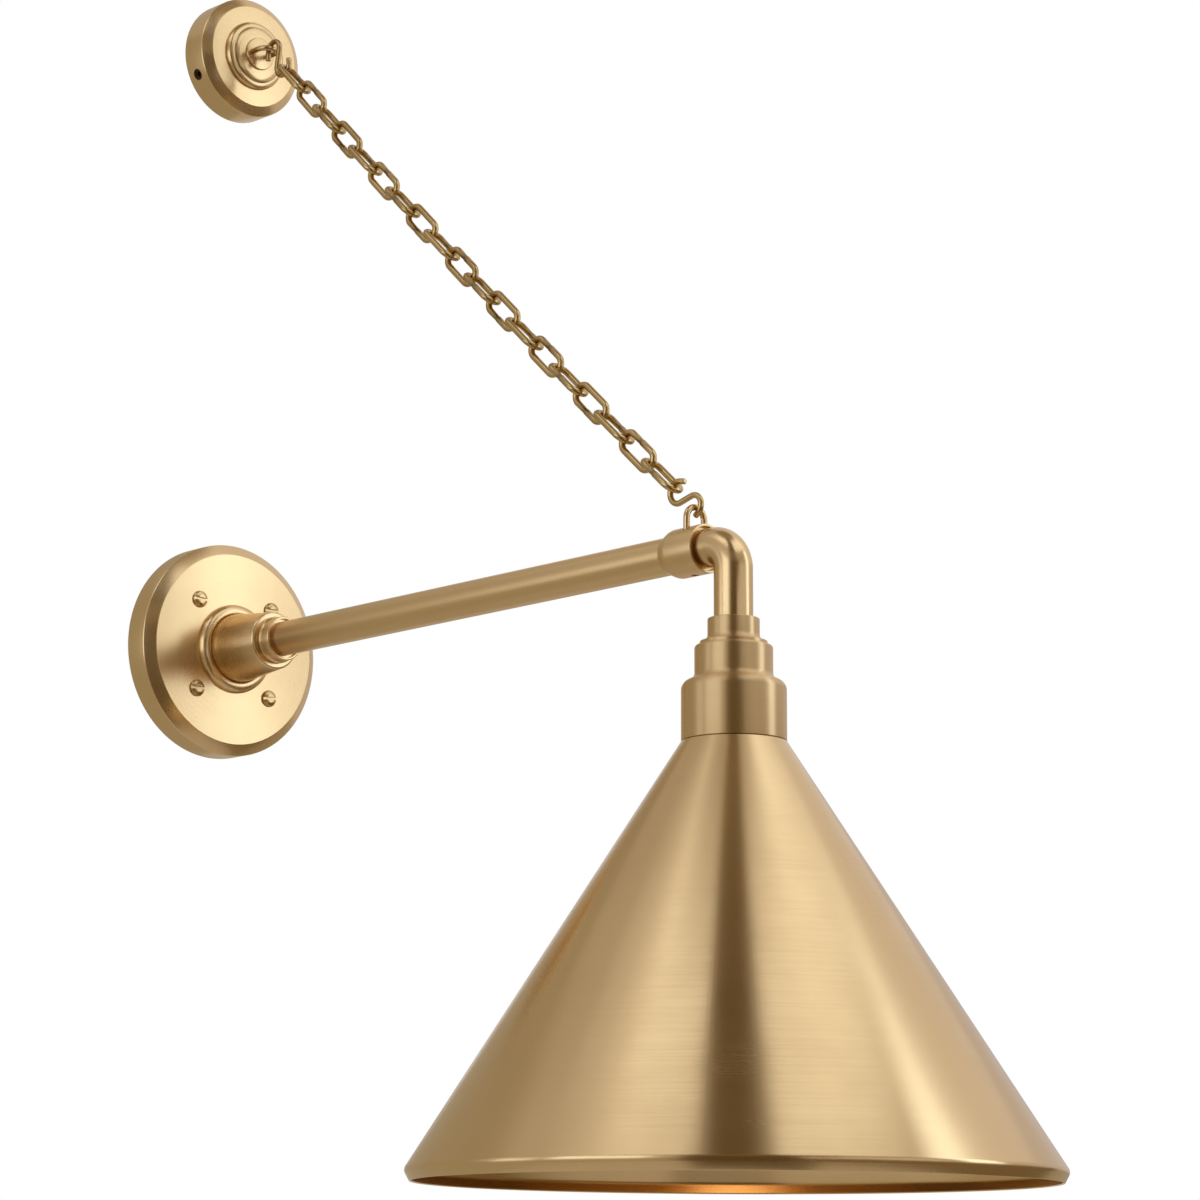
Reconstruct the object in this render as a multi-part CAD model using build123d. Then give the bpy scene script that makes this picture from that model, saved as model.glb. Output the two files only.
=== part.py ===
from build123d import *

import math
import os

# A wall sconce: a round backplate carries a straight arm, a cone shade hangs from an elbow
# at the end of the arm, and a chain ties the arm's end to a small boss higher up the wall.
#
# Millimetres, +Z up. The origin is the centre of the backplate's wall face. The wall is the
# plane Y = 0 and the arm reaches out towards -Y. "Depth" is a distance out from the wall.

# ---- Driving dimensions ---------------------------------------------------------------

arm_reach = 445.0             # wall to the upright axis of the shade
boss_height = 379.1           # arm axis up to the boss axis

sheet = 1.5                   # wall of the spun covers
slip = 0.05                   # radial play of a tube or thread in its bore
seam = 0.1                    # play between pieces that are only laid together
free_gap = 0.3                # play between a piece that turns and its neighbour

# backplate and what is inside it
plate_radius = 64.3
plate_bevel = 6.5
plate_side = 15.4
plate_depth = 19.9
box_plate_edge_gap = 3.0
box_plate_thickness = 1.6
box_slot_spacing = 88.9
box_slot_length = 10.0
box_slot_radius = 2.3
wire_hole_radius = 14.0
face_screw_spacing = 54.0
face_screw_radius = 2.0
face_screw_head_radius = 5.1
face_screw_head_height = 2.7
face_screw_engagement = 12.0
screw_slot_width = 1.6
screw_slot_depth = 1.3
standoff_radius = 4.0
standoff_spigot_radius = 3.0
ground_screw_drop = 27.0
ground_screw_radius = 1.9
ground_screw_head_radius = 3.8
ground_screw_head_height = 2.4

# hub
hub_ring_radius = 26.9
hub_ring_height = 4.7
hub_ring_round = 4.4          # of its outer edge
hub_foot_radius = 20.6
hub_nose_radius = 17.1
hub_length = 40.1
collar_radius = 14.0
collar_step = 0.8
collar_length = 9.5
collar_band = 2.7             # of the collar's length, at its full radius
collar_mouth_radius = 11.7
collar_mouth_depth = 2.0
nipple_radius = 5.0
nipple_bore_radius = 3.5
nipple_inside = 7.0
nipple_in_hub = 14.0
washer_radius = 9.5
washer_thickness = 1.0
nut_across_flats = 16.0
nut_thickness = 3.0

# arm and coupling
tube_wall = 1.2
arm_radius = 10.1
coupling_radius = 13.2
coupling_length = 27.0
coupling_setback = 19.0       # coupling mouth back from the shade axis
coupling_arm_bore = 12.0
coupling_web = 1.2
coupling_mouth_radius = 11.9
coupling_mouth_depth = 3.0
coupling_eye_setback = 9.0    # eye and set screw back from the mouth
set_screw_radius = 2.0
set_screw_sink = 0.4
set_screw_socket = 1.6

# elbow and cup
elbow_radius = 10.2
elbow_bend = 14.0
neck_drop = 40.1              # arm axis down to the top of the neck collar
neck_radius = 13.5
neck_height = 14.1
neck_foot_radius = 17.5       # the collar flares out to this
neck_foot_height = 2.0
neck_bore = 9.5
cup_upper_radius = 20.3
cup_upper_height = 18.3
cup_lower_radius = 27.2
cup_lower_height = 31.4
cup_shoulder_drop = 3.2        # the shoulder falls this much from the upper tier outwards
cup_shoulder_hollow = 3.4
cup_shoulder_round = 5.0

# lamp holder and lamp
holder_gap = 1.3              # cup nut down to the top of the lamp holder
holder_cap_radius = 12.0
holder_cap_height = 6.0
holder_neck_radius = 16.5
holder_neck_height = 14.0
holder_radius = 19.5
holder_flange_radius = 22.5
holder_flange_height = 5.0
holder_tail = 8.0             # below the shade's flange
holder_cavity_radius = 14.2
holder_cavity_depth = 30.0
holder_nipple_hole = 8.0
shell_thickness = 0.7
lamp_contact_radius = 4.5
lamp_contact_height = 1.6
lamp_base_radius = 13.1
lamp_base_length = 25.0
lamp_glass_radius = 30.0
lamp_glass_neck_radius = 12.2
lamp_glass_length = 82.0
lamp_glass_wall = 1.0

# shade
shade_wall = 1.2
shade_joint = 0.3             # dark joint line between the cup and the shade
shade_height = 215.1
shade_rim_radius = 165.1
shade_lip_height = 5.7
shade_lip_inset = 3.1
shade_ring_radius = 24.0
shade_ring_height = 5.0

# boss on the wall for the chain
boss_radius = 38.2
boss_side = 17.0
boss_bevel = 5.8
boss_depth = 21.0
boss_plate_thickness = 2.0
boss_plate_flange = 12.0
boss_screw_spacing = 42.0
boss_screw_hole_radius = 2.3
boss_grub_depth = 8.5
boss_grub_angle = 27.0        # below the horizontal, on both sides
boss_grub_radius = 2.0
dome_radius = 22.0
dome_bead_height = 3.6
dome_bead_width = 3.7
dome_height = 5.5
disc_radius = 10.4
disc_thickness = 1.4

# eyes, chain and hooks
eye_wire_radius = 1.75
eye_half_width = 6.4          # centre line of a leg to the middle
boss_eye_reach = 12.1         # disc face to the centre line of the eye's front
coupling_eye_rise = 10.15     # coupling's top to the centre line of the eye's top
eye_foot_skin = 0.5
eye_nut_across_flats = 7.0
eye_nut_thickness = 3.0
eye_thread_end = 2.5
hook_wire_radius = 1.65
link_wire_radius = 1.9
link_inner_length = 24.9
link_inner_half_width = 3.6
link_play = 0.12
chain_sag = 3.4
chain_twist = 5.0             # degrees, from the lower end of the chain to the upper
hook_eye_radius = 5.6         # centre line bends of the two S-hooks
hook_link_radius = 6.0
upper_hook_offset = (-9.6, -12.9)
lower_hook_offset = (11.5, 8.95)
upper_tip_run = 5.7
upper_end_run = 3.2
upper_end_heading = 85.0      # headings in degrees from +Y towards +Z
lower_tail_run = 2.5
lower_tail_heading = 145.0
lower_end_run = 4.0
lower_end_heading = 190.0

# ---- Places worked out from them ------------------------------------------------------

plate_floor = plate_depth - sheet
hub_nose = plate_depth + hub_length
collar_nose = hub_nose + collar_length
arm_start = plate_depth + nipple_in_hub + 1.0
coupling_mouth = arm_reach - coupling_setback
coupling_back = coupling_mouth - coupling_length
arm_end = coupling_back + coupling_arm_bore
elbow_start = arm_end + coupling_web + free_gap
eye_depth = coupling_mouth - coupling_eye_setback
elbow_bore_radius = elbow_radius + slip

neck_top = -neck_drop
neck_foot = neck_top - neck_height
cup_shoulder = neck_foot - cup_upper_height
cup_rim = cup_shoulder - cup_lower_height
cup_roof = neck_foot - sheet
holder_top = cup_roof - nut_thickness - holder_gap
shade_top = cup_rim - shade_joint
shade_flange = shade_top - shade_wall
shade_shoulder = shade_top - shade_height
holder_end = shade_flange - holder_tail
cavity_floor = holder_end + holder_cavity_depth

boss_floor = boss_depth - sheet
dome_face = boss_depth + dome_height
disc_face = dome_face + disc_thickness
boss_eye_depth = disc_face + boss_eye_reach

# ---- Small tools ----------------------------------------------------------------------


def outline(corners):
    """A closed face from corners (radius, height) or (radius, height, rounding)."""
    points = [corner[:2] for corner in corners]
    rounding = [corner[2] if len(corner) > 2 else 0 for corner in corners]
    return make_face(FilletPolyline(*points, radius=rounding, close=True))


def spun_sheet(path, thickness):
    """The corners of a sheet that follows a path, with its wall on the path's right side."""
    count = len(path)
    inner = []
    for i, corner in enumerate(path):
        before = path[max(i - 1, 0)]
        after = path[min(i + 1, count - 1)]
        into = Vector(corner[0] - before[0], corner[1] - before[1]) if i > 0 else None
        out = Vector(after[0] - corner[0], after[1] - corner[1]) if i < count - 1 else None
        into = (into or out).normalized()
        out = (out or into).normalized()
        side_in = Vector(into.Y, -into.X)
        side_out = Vector(out.Y, -out.X)
        shift = (side_in + side_out) * (thickness / (1 + side_in.dot(side_out)))
        turn = into.X * out.Y - into.Y * out.X
        rounding = corner[2] if len(corner) > 2 else 0
        if rounding:
            rounding = max(rounding + thickness * (1 if turn > 0 else -1), 0.2)
        inner.append((corner[0] + shift.X, corner[1] + shift.Y, rounding))
    return list(path) + inner[::-1]


def turned_on_wall(corners):
    """A solid turned about the arm's axis, from corners (radius, depth)."""
    return revolve(outline([(c[0], -c[1]) + tuple(c[2:]) for c in corners]), Axis.Y)


def turned_upright(corners):
    """A solid turned about the shade's upright axis, from corners (radius, height)."""
    return Pos(0, -arm_reach, 0) * revolve(Plane.XZ * outline(corners), Axis.Z)


def rod_from_wall(x, z, radius, depth_from, depth_to):
    """A round rod square to the wall."""
    length = depth_to - depth_from
    return Pos(x, -(depth_from + depth_to) / 2, z) * Rot(90, 0, 0) * Cylinder(radius, length)


def hex_nut(across_flats, bore_radius, thickness):
    """A hexagon nut, flat on the XY plane and rising along +Z, with its edges eased."""
    across_corners = across_flats / math.cos(math.pi / 6)
    body = extrude(RegularPolygon(across_flats / 2, 6, major_radius=False), thickness)
    easing = (across_corners - across_flats) / 4
    blank_radius = across_corners / 2
    cone_points = [
        (0, 0),
        (blank_radius - easing, 0),
        (blank_radius, easing),
        (blank_radius, thickness),
        (0, thickness),
    ]
    blank = revolve(Plane.XZ * outline(cone_points), Axis.Z)
    return (body & blank) - Pos(0, 0, thickness / 2) * Cylinder(bore_radius, 2 * thickness)


def bent_wire(start, heading, moves):
    """A wire path in the plane X = 0, laid out in (y, z) like a bench bend.

    Moves are ("run", length) or ("turn", radius, angle), where a positive angle in degrees
    turns to the left. The heading is in degrees from +Y towards +Z.
    """
    point = Vector(*start)
    edges = []
    for move in moves:
        direction = Vector(math.cos(math.radians(heading)), math.sin(math.radians(heading)))
        if move[0] == "run":
            edge = Line(point, point + direction * move[1])
        else:
            edge = JernArc(point, direction, move[1], move[2])
            heading += move[2]
        edges.append(edge)
        point = edge @ 1
    return Plane.YZ * Wire(edges)


def round_wire(path, radius):
    """Round stock swept along a path."""
    return sweep(Plane(origin=path @ 0, z_dir=path % 0) * Circle(radius), path=path)


def crossing_line(offset, radius_from, radius_to, turn):
    """Heading and length of the straight that crosses between two opposite bends."""
    span = math.hypot(*offset)
    heading = math.degrees(math.atan2(offset[1], offset[0]))
    lean = math.degrees(math.asin((radius_from + radius_to) / span))
    length = math.sqrt(span**2 - (radius_from + radius_to) ** 2)
    return heading + turn * lean, length


# ---- Wall end: backplate, hub and their hardware --------------------------------------


def screw_places():
    """The four face screws, as (x, z)."""
    half = face_screw_spacing / 2
    return [(x, z) for x in (-half, half) for z in (-half, half)]


def slotted_screw(x, z, head_depth):
    """A round-head screw square to the wall, with its slot level."""
    head = turned_on_wall(
        [
            (0, 0),
            (face_screw_head_radius, 0),
            (face_screw_head_radius, face_screw_head_height, face_screw_head_height * 0.8),
            (0, face_screw_head_height),
        ]
    )
    slot = Box(3 * face_screw_head_radius, 2 * screw_slot_depth, screw_slot_width)
    head -= Pos(0, -face_screw_head_height, 0) * slot
    shank = rod_from_wall(0, 0, face_screw_radius, -face_screw_engagement, 0)
    return Pos(x, -head_depth, z) * (head + shank)


def wall_end():
    """Everything from the junction box to the nose of the hub."""
    nodes = {}
    box_plate_radius = plate_radius - sheet - box_plate_edge_gap
    disc = rod_from_wall(0, 0, box_plate_radius, 0, box_plate_thickness)
    disc -= rod_from_wall(0, 0, wire_hole_radius, -1, box_plate_thickness + 1)
    slot = extrude(SlotOverall(box_slot_length, 2 * box_slot_radius), box_plate_thickness + 2)
    for side in (-1, 1):
        disc -= Pos(side * box_slot_spacing / 2, 1, 0) * Rot(90, 0, 0) * slot
    for x, z in screw_places():
        disc -= rod_from_wall(x, z, standoff_spigot_radius + slip, -1, box_plate_thickness + 1)
    disc -= rod_from_wall(0, -ground_screw_drop, ground_screw_radius + slip, -1, 3)
    nodes["box_plate"] = disc

    posts = []
    for x, z in screw_places():
        post = rod_from_wall(x, z, standoff_radius, box_plate_thickness, plate_floor - slip)
        post += rod_from_wall(x, z, standoff_spigot_radius, 0, box_plate_thickness)
        post -= rod_from_wall(x, z, face_screw_radius + slip, -1, plate_depth)
        posts.append(post)
    nodes["standoffs"] = Compound(posts)

    ground = rod_from_wall(0, -ground_screw_drop, ground_screw_radius, 0, box_plate_thickness)
    nodes["ground_screw"] = ground + rod_from_wall(
        0,
        -ground_screw_drop,
        ground_screw_head_radius,
        box_plate_thickness,
        box_plate_thickness + ground_screw_head_height,
    )

    face_radius = plate_radius - plate_bevel
    shell = turned_on_wall(
        spun_sheet(
            [
                (nipple_radius + slip, plate_depth),
                (face_radius, plate_depth, 0.8),
                (plate_radius, plate_side, 1.0),
                (plate_radius, 0),
            ],
            sheet,
        )
    )
    for x, z in screw_places():
        shell -= rod_from_wall(x, z, face_screw_radius + seam, plate_floor - 1, plate_depth + 1)
    nodes["backplate"] = shell

    nodes["plate_screws"] = Compound([slotted_screw(x, z, plate_depth) for x, z in screw_places()])

    nodes["hub_ring"] = turned_on_wall(
        [
            (hub_foot_radius + seam, plate_depth),
            (hub_ring_radius, plate_depth),
            (hub_ring_radius, plate_depth + hub_ring_height, hub_ring_round),
            (hub_foot_radius + seam, plate_depth + hub_ring_height, 1.3),
        ]
    )
    nodes["hub"] = turned_on_wall(
        [
            (nipple_radius + slip, plate_depth),
            (hub_foot_radius, plate_depth),
            (hub_foot_radius, plate_depth + hub_ring_height),
            (hub_nose_radius, hub_nose, 1.0),
            (arm_radius + slip, hub_nose),
            (arm_radius + slip, arm_start - slip),
            (nipple_radius + slip, arm_start - slip),
        ]
    )
    groove = hub_nose + collar_band
    nodes["hub_collar"] = turned_on_wall(
        [
            (arm_radius + slip, hub_nose),
            (collar_radius, hub_nose),
            (collar_radius, groove, 0.5),
            (collar_radius - collar_step, groove + collar_step),
            (collar_radius - collar_step, collar_nose, 0.7),
            (collar_mouth_radius, collar_nose),
            (collar_mouth_radius, collar_nose - collar_mouth_depth),
            (arm_radius + slip, collar_nose - collar_mouth_depth),
        ]
    )

    nipple_start = plate_floor - nipple_inside
    nipple = rod_from_wall(0, 0, nipple_radius, nipple_start, plate_depth + nipple_in_hub)
    nipple -= rod_from_wall(0, 0, nipple_bore_radius, nipple_start - 1, arm_start + 1)
    nodes["arm_nipple"] = nipple

    washer_depth = plate_floor - washer_thickness
    washer = rod_from_wall(0, 0, washer_radius, washer_depth, plate_floor)
    nodes["lock_washer"] = washer - rod_from_wall(
        0, 0, nipple_radius + slip, washer_depth - 1, plate_depth
    )
    nut = hex_nut(nut_across_flats, nipple_radius + slip, nut_thickness)
    nodes["hub_locknut"] = Pos(0, -washer_depth, 0) * Rot(-90, 0, 0) * nut
    return nodes


# ---- Arm: tube, coupling and its eye ---------------------------------------------------


def wire_eye(rise):
    """A U-shaped eye in the XZ plane: its top at height 0, its legs down to -rise."""
    straight = rise - eye_half_width
    path = Wire(
        [
            Line((-eye_half_width, -rise), (-eye_half_width, -rise + straight)),
            JernArc((-eye_half_width, -rise + straight), (0, 1), eye_half_width, -180),
            Line((eye_half_width, -rise + straight), (eye_half_width, -rise)),
        ]
    )
    return round_wire(Plane.XZ * path, eye_wire_radius)


def coupling_eye_height():
    """Arm axis up to the centre line of the coupling eye's top."""
    return coupling_radius + coupling_eye_rise


def arm():
    """The arm tube, the turned coupling, the eye on it and the set screw under it."""
    nodes = {}
    tube = rod_from_wall(0, 0, arm_radius, arm_start, arm_end)
    bore_radius = arm_radius - tube_wall
    nodes["arm_tube"] = tube - rod_from_wall(0, 0, bore_radius, arm_start - 1, arm_end + 1)

    web_radius = min(arm_radius, elbow_radius) - tube_wall
    mouth_floor = coupling_mouth - coupling_mouth_depth
    back_round = coupling_radius - arm_radius - slip - 0.3
    coupling = turned_on_wall(
        [
            (arm_radius + slip, coupling_back),
            (coupling_radius - back_round, coupling_back),
            (coupling_radius, coupling_back + 2.2 * back_round, 2.2 * back_round),
            (coupling_radius, coupling_mouth, 0.4),
            (coupling_mouth_radius, coupling_mouth),
            (coupling_mouth_radius, mouth_floor),
            (elbow_bore_radius, mouth_floor),
            (elbow_bore_radius, arm_end + coupling_web),
            (web_radius, arm_end + coupling_web),
            (web_radius, arm_end + slip),
            (arm_radius + slip, arm_end + slip),
        ]
    )

    leg_edge = eye_half_width - eye_wire_radius
    foot = math.sqrt(elbow_bore_radius**2 - leg_edge**2) + eye_foot_skin
    top = coupling_eye_height()
    nodes["coupling_eye"] = Pos(0, -eye_depth, top) * wire_eye(top - foot)
    for side in (-1, 1):
        leg_length = coupling_radius
        hole = Cylinder(eye_wire_radius + slip, leg_length)
        coupling -= Pos(side * eye_half_width, -eye_depth, foot - slip + leg_length / 2) * hole

    bore = Cylinder(set_screw_radius + slip, coupling_radius)
    coupling -= Pos(0, -eye_depth, -coupling_radius) * bore
    nodes["arm_coupling"] = coupling

    screw_top = -(elbow_radius + free_gap)
    screw_length = coupling_radius - set_screw_sink + screw_top
    screw = Cylinder(set_screw_radius, screw_length)
    socket = extrude(RegularPolygon(set_screw_socket / 2, 6, major_radius=False), screw_length / 2)
    screw -= Pos(0, 0, -screw_length / 2) * socket
    nodes["coupling_set_screw"] = Pos(0, -eye_depth, screw_top - screw_length / 2) * screw
    return nodes


# ---- Shade end: elbow, cup, lamp holder, lamp and shade --------------------------------


def elbow():
    """The tube that leaves the coupling and bends down into the neck collar."""
    tube_end = neck_top - neck_bore + seam
    path = bent_wire(
        (-elbow_start, 0),
        180,
        [
            ("run", arm_reach - elbow_bend - elbow_start),
            ("turn", elbow_bend, 90),
            ("run", -tube_end - elbow_bend),
        ],
    )
    tube = round_wire(path, elbow_radius) - round_wire(path, elbow_radius - tube_wall)
    return {"elbow_tube": tube}


def cup():
    """The tiered cup: a neck collar, the spun cup and the nipple and nut that hold them."""
    nodes = {}
    bore_floor = neck_top - neck_bore
    foot_step = neck_foot + neck_foot_height
    half_drop = cup_shoulder_drop / 2
    nodes["neck_collar"] = turned_upright(
        [
            (elbow_radius + slip, neck_top),
            (neck_radius, neck_top, 0.6),
            (neck_radius, foot_step, (neck_foot_radius - neck_radius) * 0.97),
            (neck_foot_radius, foot_step),
            (neck_foot_radius, neck_foot),
            (nipple_radius + slip, neck_foot),
            (nipple_radius + slip, bore_floor),
            (elbow_radius + slip, bore_floor),
        ]
    )
    nodes["socket_cup"] = turned_upright(
        spun_sheet(
            [
                (nipple_radius + slip, neck_foot),
                (cup_upper_radius, neck_foot, 1.7),
                (cup_upper_radius, cup_shoulder + half_drop, cup_shoulder_hollow),
                (cup_lower_radius, cup_shoulder - half_drop, cup_shoulder_round),
                (cup_lower_radius, cup_rim),
            ],
            sheet,
        )
    )
    nipple_top = bore_floor - seam
    nipple_end = holder_top - holder_nipple_hole + seam
    length = nipple_top - nipple_end
    nipple = Cylinder(nipple_radius, length) - Cylinder(nipple_bore_radius, 2 * length)
    nodes["socket_nipple"] = Pos(0, -arm_reach, (nipple_top + nipple_end) / 2) * nipple
    nut = hex_nut(nut_across_flats, nipple_radius + slip, nut_thickness)
    nodes["cup_locknut"] = Pos(0, -arm_reach, cup_roof) * Rot(180, 0, 0) * nut
    return nodes


def lamp_holder():
    """The ceramic lamp holder, its screw shell and its centre contact."""
    nodes = {}
    cap_foot = holder_top - holder_cap_height
    neck_end = cap_foot - holder_neck_height
    flange_top = shade_top + holder_flange_height
    nipple_hole_end = holder_top - holder_nipple_hole
    nodes["socket_body"] = turned_upright(
        [
            (0, nipple_hole_end),
            (nipple_radius + slip, nipple_hole_end),
            (nipple_radius + slip, holder_top),
            (holder_cap_radius, holder_top, 1.0),
            (holder_cap_radius, cap_foot),
            (holder_neck_radius, cap_foot, 1.5),
            (holder_neck_radius, neck_end),
            (holder_radius, neck_end - 1.0),
            (holder_radius, flange_top),
            (holder_flange_radius, flange_top, 0.8),
            (holder_flange_radius, shade_top),
            (holder_radius, shade_top),
            (holder_radius, holder_end, 0.8),
            (holder_cavity_radius, holder_end),
            (holder_cavity_radius, cavity_floor),
            (0, cavity_floor),
        ]
    )
    shell_radius = holder_cavity_radius - slip
    nodes["socket_shell"] = turned_upright(
        [
            (shell_radius - shell_thickness, cavity_floor - 2),
            (shell_radius, cavity_floor - 2),
            (shell_radius, holder_end + 2),
            (shell_radius - shell_thickness, holder_end + 2),
        ]
    )
    nodes["socket_contact"] = turned_upright(
        [
            (0, cavity_floor),
            (lamp_contact_radius, cavity_floor),
            (lamp_contact_radius, cavity_floor - 1),
            (0, cavity_floor - 1),
        ]
    )
    return nodes


def lamp():
    """A screw-base lamp: centre contact, metal base and glass bulb."""
    nodes = {}
    contact_top = cavity_floor - 1 - seam
    base_top = contact_top - lamp_contact_height
    base_end = base_top - lamp_base_length
    nodes["bulb_contact"] = turned_upright(
        [
            (0, contact_top),
            (lamp_contact_radius, contact_top, 0.5),
            (lamp_contact_radius, base_top),
            (0, base_top),
        ]
    )
    nodes["bulb_base"] = turned_upright(
        [
            (0, base_top),
            (lamp_contact_radius + 1, base_top),
            (lamp_base_radius, base_top - 4, 1.0),
            (lamp_base_radius, base_end),
            (lamp_glass_neck_radius + seam, base_end),
            (lamp_glass_neck_radius + seam, base_top - 8),
            (0, base_top - 8),
        ]
    )
    glass_end = base_end - lamp_glass_length
    widest = glass_end + lamp_glass_radius
    nodes["bulb_glass"] = turned_upright(
        spun_sheet(
            [
                (lamp_glass_neck_radius, base_top - 8 - seam),
                (lamp_glass_neck_radius, base_end - 2, 6.0),
                (lamp_glass_radius, widest + lamp_glass_length * 0.12, lamp_glass_radius * 0.8),
                (lamp_glass_radius, glass_end, lamp_glass_radius * 0.99),
                (0, glass_end),
            ],
            lamp_glass_wall,
        )
    )
    return nodes


def shade():
    """The spun cone with its turned-in lip, and the ring that clamps it to the holder."""
    nodes = {}
    nodes["shade"] = turned_upright(
        spun_sheet(
            [
                (holder_radius + seam, shade_top),
                (cup_lower_radius, shade_top, 0.6),
                (shade_rim_radius, shade_shoulder, 1.6),
                (shade_rim_radius - shade_lip_inset, shade_shoulder - shade_lip_height),
            ],
            shade_wall,
        )
    )
    ring_end = shade_flange - shade_ring_height
    nodes["shade_ring"] = turned_upright(
        [
            (holder_radius + slip, shade_flange),
            (shade_ring_radius, shade_flange),
            (shade_ring_radius, ring_end, 0.8),
            (holder_radius + slip, ring_end),
        ]
    )
    return nodes


# ---- Boss on the wall ------------------------------------------------------------------


def boss():
    """The small wall cover that the chain hangs from, with its eye and hidden wall cup."""
    nodes = {}
    cup_radius = boss_radius - sheet - seam
    plate = turned_on_wall(
        spun_sheet(
            [(cup_radius, boss_plate_flange), (cup_radius, 0, 1.0), (0, 0)],
            boss_plate_thickness,
        )
    )
    for side in (-1, 1):
        plate -= rod_from_wall(side * boss_screw_spacing / 2, 0, boss_screw_hole_radius, -1, 4)

    canopy = turned_on_wall(
        spun_sheet(
            [
                (0, boss_depth),
                (boss_radius - boss_bevel, boss_depth, 0.8),
                (boss_radius, boss_side, 1.0),
                (boss_radius, 0),
            ],
            sheet,
        )
    )
    bead_face = boss_depth + dome_bead_height
    bead_round = 0.92 * min(dome_bead_height, dome_bead_width)
    crown_radius = dome_radius - dome_bead_width
    crown_rise = 0.8 * (dome_face - bead_face)
    dome = turned_on_wall(
        [
            (0, boss_depth),
            (dome_radius, boss_depth),
            (dome_radius, bead_face, bead_round),
            (crown_radius, bead_face),
            (crown_radius - crown_rise, bead_face + crown_rise, 3 * crown_rise),
            (disc_radius, dome_face),
            (0, dome_face),
        ]
    )
    disc = turned_on_wall(
        [
            (0, dome_face),
            (disc_radius, dome_face),
            (disc_radius, disc_face, 0.6),
            (0, disc_face),
        ]
    )
    nut_depth = boss_floor - eye_nut_thickness
    leg_end = nut_depth - eye_thread_end
    for side in (-1, 1):
        x = side * eye_half_width
        clear = rod_from_wall(x, 0, eye_wire_radius + slip, leg_end - 1, disc_face + 1)
        canopy -= clear
        dome -= clear
        disc -= clear

    screws = []
    for side in (-1, 1):
        turn = Rot(0, -boss_grub_angle if side < 0 else 180 + boss_grub_angle, 0)
        place = Pos(0, -boss_grub_depth, 0) * turn * Rot(0, -90, 0)
        bore = Cylinder(boss_grub_radius + slip, boss_radius, align=(Align.CENTER,) * 2 + (Align.MIN,))
        canopy -= place * bore
        plate -= place * bore
        reach = boss_radius - set_screw_sink
        length = sheet + boss_plate_thickness
        screw = Cylinder(boss_grub_radius, length)
        socket = RegularPolygon(set_screw_socket / 2, 6, major_radius=False)
        screw -= Pos(0, 0, length / 2) * extrude(socket, -length / 2)
        screws.append(place * Pos(0, 0, reach - length / 2) * screw)

    rise = disc_face + boss_eye_reach - leg_end
    eye = Pos(0, -boss_eye_depth, 0) * Rot(90, 0, 0) * wire_eye(rise)
    nut = hex_nut(eye_nut_across_flats, eye_wire_radius + slip, eye_nut_thickness)
    nuts = [
        Pos(side * eye_half_width, -boss_floor, 0) * Rot(-90, 0, 0) * nut for side in (-1, 1)
    ]

    lift = Pos(0, 0, boss_height)
    nodes["boss_plate"] = lift * plate
    nodes["boss_canopy"] = lift * canopy
    nodes["boss_grub_screws"] = lift * Compound(screws)
    nodes["boss_dome"] = lift * dome
    nodes["boss_disc"] = lift * disc
    nodes["boss_eye"] = lift * eye
    nodes["boss_eye_nuts"] = lift * Compound(nuts)
    return nodes


# ---- Chain -----------------------------------------------------------------------------


def chain_link(centre, along, flat, inner_length):
    """An oval link of round wire: "along" is its long way, "flat" the normal of its plane."""
    bend = link_inner_half_width + link_wire_radius
    straight = inner_length - 2 * link_inner_half_width
    path = Wire(
        [
            Line((-straight / 2, -bend), (straight / 2, -bend)),
            JernArc((straight / 2, -bend), (1, 0), bend, 180),
            Line((straight / 2, bend), (-straight / 2, bend)),
            JernArc((-straight / 2, bend), (-1, 0), bend, 180),
        ]
    )
    section = Pos(0, -bend, 0) * Rot(0, 90, 0) * Circle(link_wire_radius)
    return Plane(origin=centre, x_dir=along, z_dir=flat) * sweep(section, path=path)


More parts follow.
